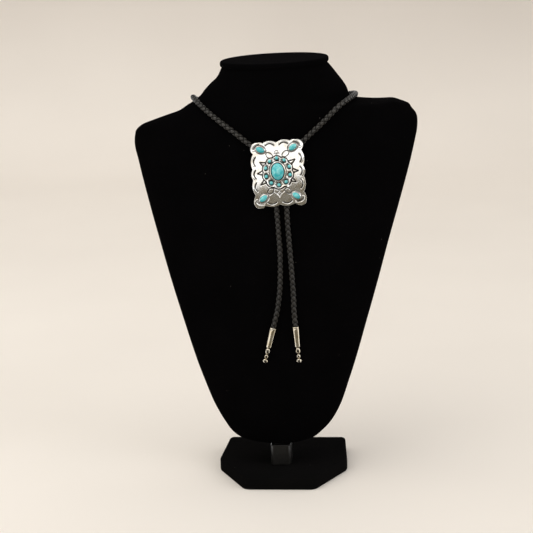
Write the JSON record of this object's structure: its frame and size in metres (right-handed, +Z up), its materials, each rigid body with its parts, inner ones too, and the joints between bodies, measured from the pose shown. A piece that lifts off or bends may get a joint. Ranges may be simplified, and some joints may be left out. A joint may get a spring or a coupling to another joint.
{
  "type": "bolo tie on a necklace display bust",
  "caption": "Bolo tie with a scalloped square silver slide, turquoise stones, braided leather cord and metal tips, on a black velvet neck bust.",
  "frame": {"origin": "centre of the base's flat underside", "axes": "+X to the right seen from the front, +Y to the back, +Z up; the bust faces -Y"},
  "size_m": [0.2382, 0.1076, 0.3558],
  "materials": {
    "velvet": "black short-pile velvet, matte with a faint sheen at grazing angles",
    "post_gloss": "polished black plastic",
    "silver": "antique silver-plated casting, brushed on the face and darkened in the recesses",
    "turquoise": "polished turquoise cabochon with faint mottling",
    "cord_leather": "black round-braided leather cord with a waxed sheen"
  },
  "bodies": {
    "root": {"bust_body": "velvet", "bust_base": "velvet", "bust_post": "post_gloss", "slide_plate": "silver", "slide_clasp": "silver", "tip_left": "silver", "tip_right": "silver", "cord": "cord_leather", "centre_stone": "turquoise", "accent_stone_1": "turquoise", "accent_stone_2": "turquoise", "accent_stone_3": "turquoise", "accent_stone_4": "turquoise", "accent_stone_5": "turquoise", "accent_stone_6": "turquoise", "accent_stone_7": "turquoise", "accent_stone_8": "turquoise", "accent_stone_9": "turquoise", "accent_stone_10": "turquoise", "corner_stone_top_left": "turquoise", "corner_stone_top_right": "turquoise", "corner_stone_bottom_left": "turquoise", "corner_stone_bottom_right": "turquoise"}
  },
  "joints": []
}
